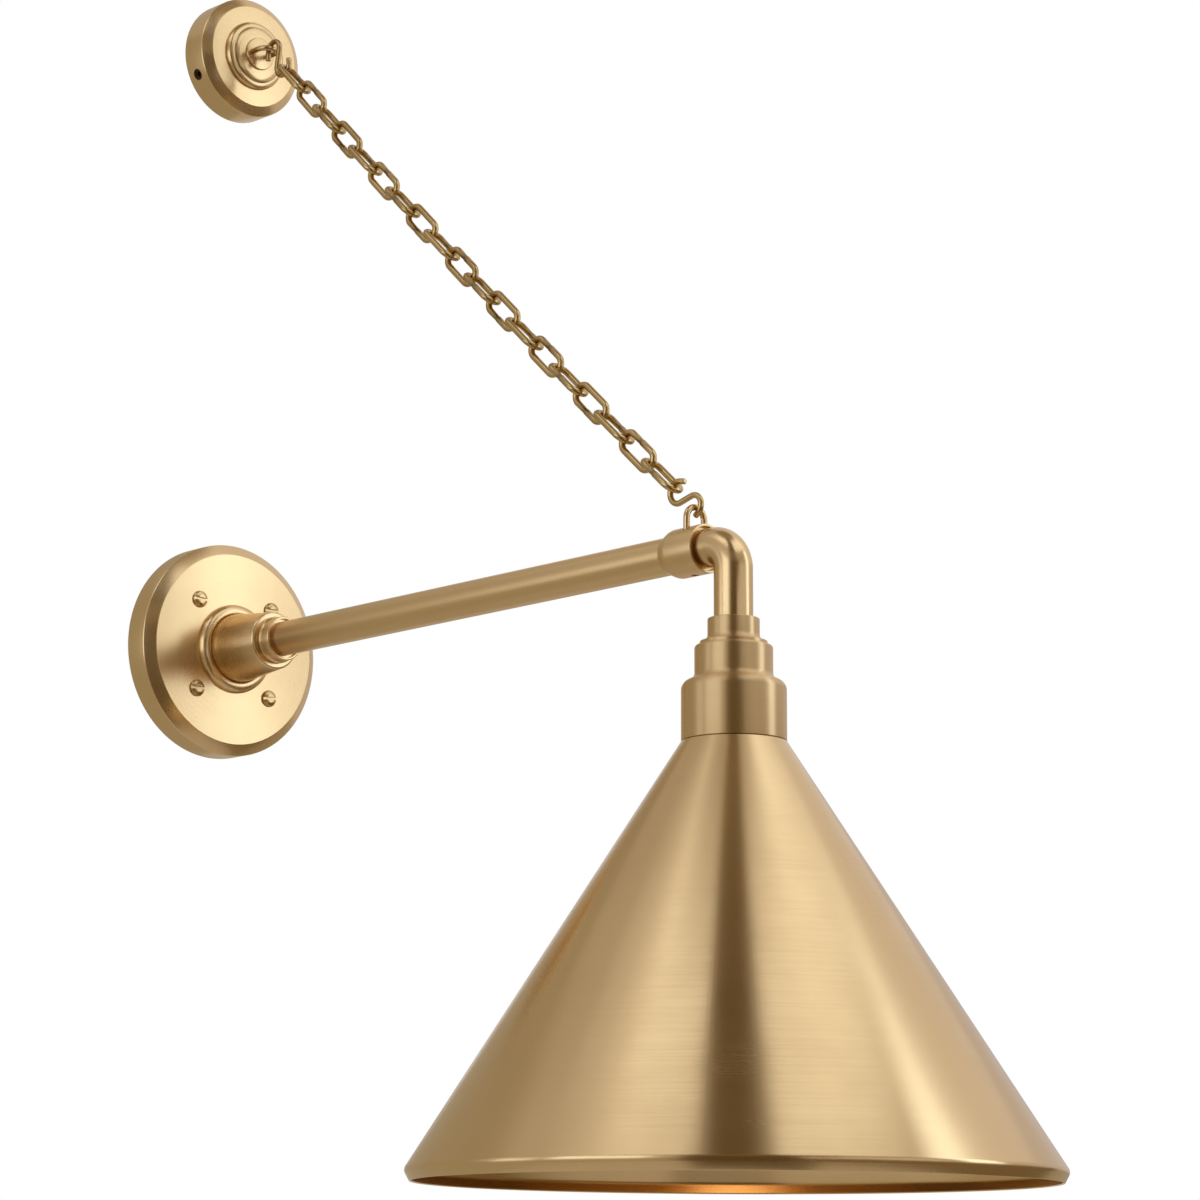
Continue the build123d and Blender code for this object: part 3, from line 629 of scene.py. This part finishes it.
coupling = turned(
    "Arm_coupling",
    [(10.15, 399.0), (10.45, 399.0), (13.2, 405.2, 6.0), (13.2, 426.0, 0.4), (11.9, 426.0, 0.2),
     (11.9, 423.0), (10.25, 423.0), (10.25, 412.2), (8.9, 412.2), (8.9, 411.05), (10.15, 411.05)],
    ARM_AXIS, "satin_brass", "root", "arm_coupling",
)
cut(
    coupling,
    drill_bit(SET_SCREW_RADIUS + 0.05, 6, EYE_AXIS @ Matrix.Translation((0, 0, -15))),
    drill_bit(EYE_HOLE, 6, EYE_AXIS @ Matrix.Translation((-EYE_BEND, 0, 8.5))),
    drill_bit(EYE_HOLE, 6, EYE_AXIS @ Matrix.Translation((EYE_BEND, 0, 8.5))),
)
coupling.data.materials.append(arm_brass)

under = EYE_AXIS @ Matrix.Translation((0, 0, -10.5)) @ Matrix.Rotation(math.pi, 4, "X")
set_screw = turned(
    "Coupling_set_screw",
    [(0, 0), (SET_SCREW_RADIUS, 0), (SET_SCREW_RADIUS, SET_SCREW_LENGTH, 0.3), (0, SET_SCREW_LENGTH)],
    under, "screw_brass", "root", "coupling_set_screw", closed=False, steps=48,
)
cut(set_screw, drill_bit(0.92, 3, under @ Matrix.Translation((0, 0, 1.2)), sides=6))
set_screw.data.materials.append(screw_brass)

# The eye on the coupling stands up, and the boss's eye is the same eye laid level.
ACROSS = Matrix.Rotation(QUARTER, 4, "Z")


def wire_eye(name, leg, place, node):
    """A U of wire in the plane that has X in it: its crown at height 0, its legs down."""
    straight = leg - EYE_BEND
    moves = [("run", straight), ("turn", EYE_BEND, -180), ("run", straight)]
    path = ((-EYE_BEND, -leg), 90, moves, EYE_WIRE)
    eye = bent_rod(name, path, place @ ACROSS, "chain_brass", "root", node)
    eye.data.materials.append(eye_brass)


wire_eye("Coupling_eye", 13.6, EYE_AXIS @ Matrix.Translation((0, 0, 23.35)), "coupling_eye")

# ---- Shade end ----------------------------------------------------------------------------

elbow = bent_rod(
    "Elbow_tube",
    ((-412.5, 0), 180, [("run", 18.5), ("turn", 14.0, 90), ("run", 35.5)], 10.2),
    Matrix.Scale(MM, 4), "satin_brass", "shade_arm", "elbow_tube", around=96, arc_step=2.5,
)
elbow.data.materials.append(elbow_brass)

cup_parts = {
    "neck_collar": [(10.25, -40.1, 0.2), (13.5, -40.1, 0.6), (13.5, -52.2, 3.88), (17.5, -52.2, 0.2),
                    (17.5, -54.2), (5.05, -54.2), (5.05, -49.6), (10.25, -49.6)],
    "socket_cup": [(5.05, -54.2), (20.3, -54.2, 1.7), (20.3, -70.9, 3.4), (27.2, -74.1, 5.0),
                   (27.2, -103.9, 0.3), (25.7, -103.9, 0.2), (25.7, -75.06, 3.5),
                   (18.8, -71.86, 4.9), (18.8, -55.7, 0.5), (5.05, -55.7)],
}
for node, corners in cup_parts.items():
    part = turned(node.capitalize(), corners, SHADE_AXIS, "satin_brass", "shade_arm", node)
    part.data.materials.append(cup_brass)

# The lip runs in and down from the shoulder, and its edge is folded.
shade = turned(
    "Shade",
    [(19.6, -104.2, 0.3), (27.2, -104.2, 0.6), (165.1, -319.3, 3.2), (162.0, -325.0, 0.5),
     (160.9, -324.4, 0.4), (163.6, -319.4, 2.0), (26.5, -105.4, 0.4), (19.6, -105.4, 0.3)],
    SHADE_AXIS, "satin_brass", "shade_arm", "shade", steps=320,
)
shade.data.materials.append(shade_brass)

holder_parts = {
    "shade_ring": [(19.55, -105.4), (24.0, -105.4, 0.3), (24.0, -110.4, 0.8), (19.55, -110.4, 0.3)],
    "socket_body": [(14.2, -83.4), (14.2, -113.4, 0.3), (19.5, -113.4, 0.8), (19.5, -104.2),
                    (22.5, -104.2, 0.2), (22.5, -99.2, 0.8), (19.5, -99.2), (19.5, -81.0, 0.4),
                    (16.5, -80.0), (16.5, -66.0, 1.5), (12.0, -66.0), (12.0, -60.0, 1.0),
                    (5.05, -60.0), (5.05, -68.0)],
}
for node, corners in holder_parts.items():
    part = turned(node.capitalize(), corners, SHADE_AXIS, "lamp_holder", "shade_arm", node, steps=96)
    part.data.materials.append(porcelain)

lamp = turned(
    "Lamp_glass",
    [(12.2, -94.1), (12.2, -109.1, 6.0), (30.0, -153.3, 24.0), (30.0, -193.1, 29.7), (0, -193.1)],
    SHADE_AXIS, "lamp_glass", "shade_arm", "bulb_glass", closed=False, steps=96,
)
lamp.data.materials.append(lamp_glass)

# ---- Boss ---------------------------------------------------------------------------------

canopy = turned(
    "Boss_canopy",
    [(0, 21.0), (32.4, 21.0, 0.8), (38.2, 17.0, 1.0), (38.2, 0, 0.3), (36.7, 0, 0.3),
     (36.7, 16.2, 0.5), (31.9, 19.5, 0.5), (0, 19.5)],
    BOSS_AXIS, "satin_brass", "root", "boss_canopy", closed=False,
)

# A grub screw on each side, below the level of the middle, holds the cover on its cup.
GRUB_FALL = math.radians(27.0)
GRUB_DEPTH = 8.5
GRUB_RADIUS = 3.5
GRUB_INNER, GRUB_OUTER = 34.3, 37.0
for side, angle in (("left", -GRUB_FALL), ("right", math.pi + GRUB_FALL)):
    spot = Matrix.Translation((0, -GRUB_DEPTH * MM, BOSS_HEIGHT * MM))
    spot = spot @ Matrix.Rotation(angle, 4, "Y") @ Matrix.Rotation(-QUARTER, 4, "Y")
    spot = spot @ Matrix.Scale(MM, 4)
    cut(canopy, drill_bit(GRUB_RADIUS + 0.15, 8, spot @ Matrix.Translation((0, 0, 33))))
    grub = turned(
        f"Boss_grub_screw_{side}",
        [(0, GRUB_INNER), (GRUB_RADIUS, GRUB_INNER), (GRUB_RADIUS, GRUB_OUTER, 0.4), (0, GRUB_OUTER)],
        spot, "screw_brass", "root", "boss_grub_screws", closed=False, steps=48,
    )
    cut(grub, drill_bit(1.9, 3, spot @ Matrix.Translation((0, 0, 35.2)), sides=6))
    # This near-black colour is painted shade of the screw's hole in the cover.
    grub.data.materials.append(screw_dark_for_hole_shade)
canopy.data.materials.append(boss_brass)

boss_parts = {
    "boss_dome": [(0, 21.0), (22.0, 21.0, 0.2), (22.0, 24.6, 3.3), (18.3, 24.6, 0.25),
                  (16.8, 26.1, 4.4), (10.4, 26.5), (0, 26.5)],
    "boss_disc": [(0, 26.5), (10.4, 26.5, 0.2), (10.4, 27.9, 0.6), (0, 27.9)],
}
for node, corners in boss_parts.items():
    part = turned(node.capitalize(), corners, BOSS_AXIS, "satin_brass", "root", node, closed=False)
    part.data.materials.append(boss_brass)

wire_eye("Boss_eye", 26.0, BOSS_AXIS @ Matrix.Translation((0, 0, 40.0)), "boss_eye")

# ---- Chain --------------------------------------------------------------------------------

HOOK_WIRE, LINK_WIRE = 1.65, 1.9
HOOK_EYE_BEND, HOOK_LINK_BEND = 5.6, 6.0
LINK_HALF_OPENING = 3.6
LINK_PLAY = 0.12
LINK_COUNT = 19
CHAIN_TWIST = 5.0
# The wire's two ends meet in a short joint that is a little thinner than the wire.
JOINT_LENGTH, JOINT_SHARE = 0.24, 0.86

hooks = {
    "s_hook_upper": (
        (-35.782, 372.096), 90,
        [("run", 5.7), ("turn", HOOK_EYE_BEND, 189.513), ("run", 11.136),
         ("turn", HOOK_LINK_BEND, -194.513), ("run", 3.2)],
    ),
    "s_hook_lower": (
        (-416.782, 18.633), 145,
        [("run", 2.5), ("turn", HOOK_EYE_BEND, -159.860), ("run", 8.820),
         ("turn", HOOK_LINK_BEND, 204.860), ("run", 4.0)],
    ),
}
for node, path in hooks.items():
    hook = bent_rod(
        node.capitalize(), (*path, HOOK_WIRE), Matrix.Scale(MM, 4), "chain_brass", "chain", node
    )
    hook.data.materials.append(wire_brass)


def link_path(pitch):
    """The bends of one oval link, from its butt joint in the middle of a straight side."""
    bend = LINK_HALF_OPENING + LINK_WIRE
    straight = pitch + LINK_PLAY - 2 * LINK_HALF_OPENING
    half = straight / 2 - JOINT_LENGTH / 2
    moves = [
        ("run", half), ("turn", bend, 180), ("run", straight), ("turn", bend, 180), ("run", half),
        ("neck", JOINT_SHARE), ("run", JOINT_LENGTH), ("neck", 1 / JOINT_SHARE),
    ]
    return (JOINT_LENGTH / 2, -bend), 0, moves, LINK_WIRE


def link_place(middle, along, index):
    """Where a link lies. Each is a quarter turn from its neighbour, with the chain's twist."""
    roll = math.radians(CHAIN_TWIST * (1 - (index + 0.5) / LINK_COUNT))
    across = Vector((1, 0, 0))
    level = across * math.cos(roll) + across.cross(along) * math.sin(roll)
    flat = level.cross(along) if index % 2 == 0 else level
    third = flat.cross(along)
    # The butt joints lie on one side for two links, and on the other for the next two.
    facing = 1 if index % 4 < 2 else -1
    return Matrix.Translation(middle) @ axes_turn(flat * facing, along, third * facing)


link_names = [f"chain_link_{number:02d}" for number in range(1, LINK_COUNT + 1)]
middles = [sum(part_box(node), Vector()) / 2 for node in link_names]
for index, node in enumerate(link_names):
    first, last = max(index - 1, 0), min(index + 1, LINK_COUNT - 1)
    reach = middles[last] - middles[first]
    place = link_place(middles[index], reach.normalized(), index) @ Matrix.Scale(MM, 4)
    path = link_path(reach.length / (last - first) / MM)
    link = bent_rod(
        node.capitalize(), path, place, "chain_brass", "chain", node, closed=True, around=20
    )
    link.data.materials.append(wire_brass)

# ---- Nodes that keep their CAD shape --------------------------------------------------------

kept = {
    zinc: ["box_plate", "standoffs", "arm_nipple", "lock_washer", "hub_locknut", "socket_nipple",
           "cup_locknut", "boss_plate", "boss_eye_nuts"],
    screw_brass: ["ground_screw", "socket_contact", "bulb_contact"],
    lamp_metal: ["socket_shell", "bulb_base"],
}
for material, nodes in kept.items():
    for node in nodes:
        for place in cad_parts[node].material_slots:
            place.material = material

# ---- Studio -------------------------------------------------------------------------------

CAMERA_YAW, CAMERA_PITCH, CAMERA_ROLL = 0.7493, 0.2531, 0.0054
CAMERA_PLACE = Vector((-1.27696, -1.71554, -0.38936))
FOCAL_PIXELS, FRAME_PIXELS = 3545.18, 1200
SENSOR = 36.0
# The lens points at this place in the frame, in pixels from its top left.
PRINCIPAL = (600, 400)

level_share = math.cos(CAMERA_PITCH)
ahead = Vector(
    (
        math.sin(CAMERA_YAW) * level_share,
        math.cos(CAMERA_YAW) * level_share,
        math.sin(CAMERA_PITCH),
    )
)
right = Vector((math.cos(CAMERA_YAW), -math.sin(CAMERA_YAW), 0))
up = right.cross(ahead)
rolled_right = right * math.cos(CAMERA_ROLL) + up * math.sin(CAMERA_ROLL)
rolled_up = up * math.cos(CAMERA_ROLL) - right * math.sin(CAMERA_ROLL)
lens = bpy.data.cameras.new("Camera")
lens.sensor_width = SENSOR
lens.lens = FOCAL_PIXELS / FRAME_PIXELS * SENSOR
lens.shift_x = (FRAME_PIXELS / 2 - PRINCIPAL[0]) / FRAME_PIXELS
lens.shift_y = (PRINCIPAL[1] - FRAME_PIXELS / 2) / FRAME_PIXELS
lens.clip_end = 100
camera = in_scene("Camera", lens)
camera.matrix_world = Matrix.Translation(CAMERA_PLACE) @ axes_turn(rolled_right, rolled_up, -ahead)
bpy.context.scene.camera = camera

SKY_ON_MATT, SKY_SEEN = 0.62, 1.0

world = bpy.data.worlds.new("Studio")
bpy.context.scene.world = world
world.use_nodes = True
w = Wiring(world.node_tree)
sky = world.node_tree.nodes["Background"]
rays = w.node("ShaderNodeLightPath")
seen = w.maths("MAXIMUM", rays.outputs["Is Camera Ray"], rays.outputs["Is Glossy Ray"])
seen = w.maths("MAXIMUM", seen, rays.outputs["Is Transmission Ray"])
sky.inputs["Color"].default_value = (1.0, 1.0, 1.0, 1.0)
w.join(w.span(seen, 0.0, 1.0, SKY_ON_MATT, SKY_SEEN), sky.inputs["Strength"])

MIDDLE = Vector((0, -0.30, 0))
TO_CAMERA = math.atan2(-math.cos(CAMERA_YAW), -math.sin(CAMERA_YAW))


def studio_place(azimuth, elevation, distance):
    """A place round the lamp that faces its middle. Azimuth 0 is the camera's side."""
    swing = TO_CAMERA + math.radians(azimuth)
    lift = math.radians(elevation)
    flat = math.cos(lift)
    outward = Vector((math.cos(swing) * flat, math.sin(swing) * flat, math.sin(lift)))
    side = Vector((-math.sin(swing), math.cos(swing), 0))
    turn = axes_turn(side, outward.cross(side), outward)
    return Matrix.Translation(MIDDLE + outward * distance) @ turn


def panel_colour(level):
    """The colour of a screen's light: the dimmer, the warmer."""
    green = min(0.58 + 0.80 * level, 0.84 + 0.16 * level)
    blue = min(0.14 + 1.40 * level, 0.74 + 0.31 * level)
    return (level, level * green, level * blue, 1.0)


def panel(name, azimuths, elevations, distance, level):
    """A curved screen round the lamp that only shiny surfaces see.

    It runs from one azimuth to another and from one elevation to another.
    """
    bm = bmesh.new()
    bmesh.ops.create_grid(bm, x_segments=16, y_segments=12, size=0.5)
    for vert in bm.verts:
        azimuth = azimuths[0] + (azimuths[1] - azimuths[0]) * (vert.co.x + 0.5)
        elevation = elevations[0] + (elevations[1] - elevations[0]) * (vert.co.y + 0.5)
        vert.co = studio_place(azimuth, elevation, distance).translation
    screen = mesh_object(bm, name)
    material = bpy.data.materials.new(name)
    material.use_nodes = True
    tree = material.node_tree
    glow = tree.nodes.new("ShaderNodeEmission")
    glow.inputs["Color"].default_value = panel_colour(level)
    glow.inputs["Strength"].default_value = 1.0
    tree.links.new(glow.outputs[0], tree.nodes["Material Output"].inputs["Surface"])
    screen.data.materials.append(material)
    for kind in ("camera", "diffuse", "transmission", "volume_scatter", "shadow"):
        setattr(screen, f"visible_{kind}", False)


# Name, azimuths, elevations, distance and level. The nearer screens hide the farther ones.
for name, azimuths, elevations, distance, level in [
    ("Dark_card", (-16, 21), (-50, 22), 1.8, 0.10),
    ("Dark_card_edge", (21, 34), (8, 22), 1.8, 0.13),
    ("Dark_card_low", (-14, 34), (-62, -50), 1.8, 0.06),
    ("Dark_card_middle", (-17, 20), (22, 38), 1.8, 0.22),
    ("Dark_card_high", (-17, 20), (38, 49), 1.8, 0.10),
    ("Dark_card_top", (-13, 20), (49, 72), 1.8, 0.09),
    ("Soft_box_left", (-62, -26), (-6, 24), 1.8, 1.38),
    ("Strip_left", (-86, -68), (-10, 13), 1.8, 1.1),
    ("Overhead_left", (-64, -15), (49, 66), 1.8, 1.25),
    ("Overhead_left_end", (-77, -64), (49, 66), 1.8, 0.95),
    ("Soft_box_right", (77, 94), (-6, 38), 1.8, 1.7),
    ("Overhead_right", (21, 98), (41, 65), 1.8, 1.20),
    ("Overhead_right_end", (98, 113), (38, 65), 1.8, 0.97),
    ("Low_card_right", (21, 130), (-50, -8), 1.8, 0.18),
    ("Wall_left", (-165, -97), (-50, 36), 2.0, 0.38),
    ("Wall_left_high", (-165, -97), (36, 70), 2.0, 0.48),
    ("Side_left_low", (-97, -14), (-50, -4), 2.0, 0.38),
    ("Side_left", (-97, -14), (-4, 46), 2.0, 0.52),
    ("Side_left_high", (-97, -10), (46, 70), 2.0, 0.70),
    ("Side_right", (18, 68), (-10, 15), 2.0, 0.66),
    ("Side_right_mid", (18, 90), (15, 44), 2.0, 0.42),
    ("Side_right_high", (18, 106), (44, 70), 2.0, 0.80),
    ("Beside_box", (68, 98), (-10, 15), 2.0, 0.55),
    ("Wall_right_mid", (90, 106), (15, 44), 2.0, 0.75),
    ("Wall_right", (98, 165), (-10, 15), 2.0, 0.58),
    ("Wall_right_high", (106, 165), (15, 70), 2.0, 0.74),
    ("Wall_right_low", (130, 165), (-50, -8), 2.0, 0.36),
    ("Back_low", (165, 195), (-50, 0), 2.0, 0.50),
    ("Back_high", (165, 195), (0, 70), 2.0, 0.70),
    ("Roof", (-180, 180), (70, 90), 2.0, 0.26),
    ("Floor_card", (-180, 180), (-90, -50), 2.0, 0.50),
]:
    panel(name, azimuths, elevations, distance, level)

FLOOR_HEIGHT = -2.4
FLOOR_GLOW = 0.28
bm = bmesh.new()
bmesh.ops.create_grid(bm, x_segments=1, y_segments=1, size=12)
bm.transform(Matrix.Translation((0, 0, FLOOR_HEIGHT)))
floor = mesh_object(bm, "Floor")
pale, w, shader = new_material("Pale floor")
shader.inputs["Base Color"].default_value = (0.90, 0.90, 0.89, 1.0)
shader.inputs["Roughness"].default_value = 0.7
shader.inputs["Emission Color"].default_value = (1.0, 1.0, 0.99, 1.0)
from_camera = w.node("ShaderNodeLightPath").outputs["Is Camera Ray"]
w.join(w.maths("MULTIPLY", from_camera, FLOOR_GLOW), shader.inputs["Emission Strength"])
# The floor is clear from below, so that a view up into the shade isn't hidden by it.
open_below = w.node("ShaderNodeMixShader")
w.join(w.node("ShaderNodeNewGeometry").outputs["Backfacing"], open_below.inputs["Fac"])
w.join(shader.outputs[0], open_below.inputs[1])
w.join(w.node("ShaderNodeBsdfTransparent").outputs[0], open_below.inputs[2])
w.join(open_below.outputs[0], pale.node_tree.nodes["Material Output"].inputs["Surface"])
floor.data.materials.append(pale)


def lamp_head(name, azimuth, elevation, distance, size, power):
    """A soft lamp for the floor, the porcelain and the glass."""
    light = bpy.data.lights.new(name, "AREA")
    light.size = size
    light.energy = power
    head = in_scene(name, light)
    head.matrix_world = studio_place(azimuth, elevation, distance)
    head.visible_glossy = False


lamp_head("Key", 55, 50, 2.6, 1.6, 26)
lamp_head("Fill", -70, 35, 2.8, 2.0, 14)

bpy.context.scene.view_settings.view_transform = "Standard"
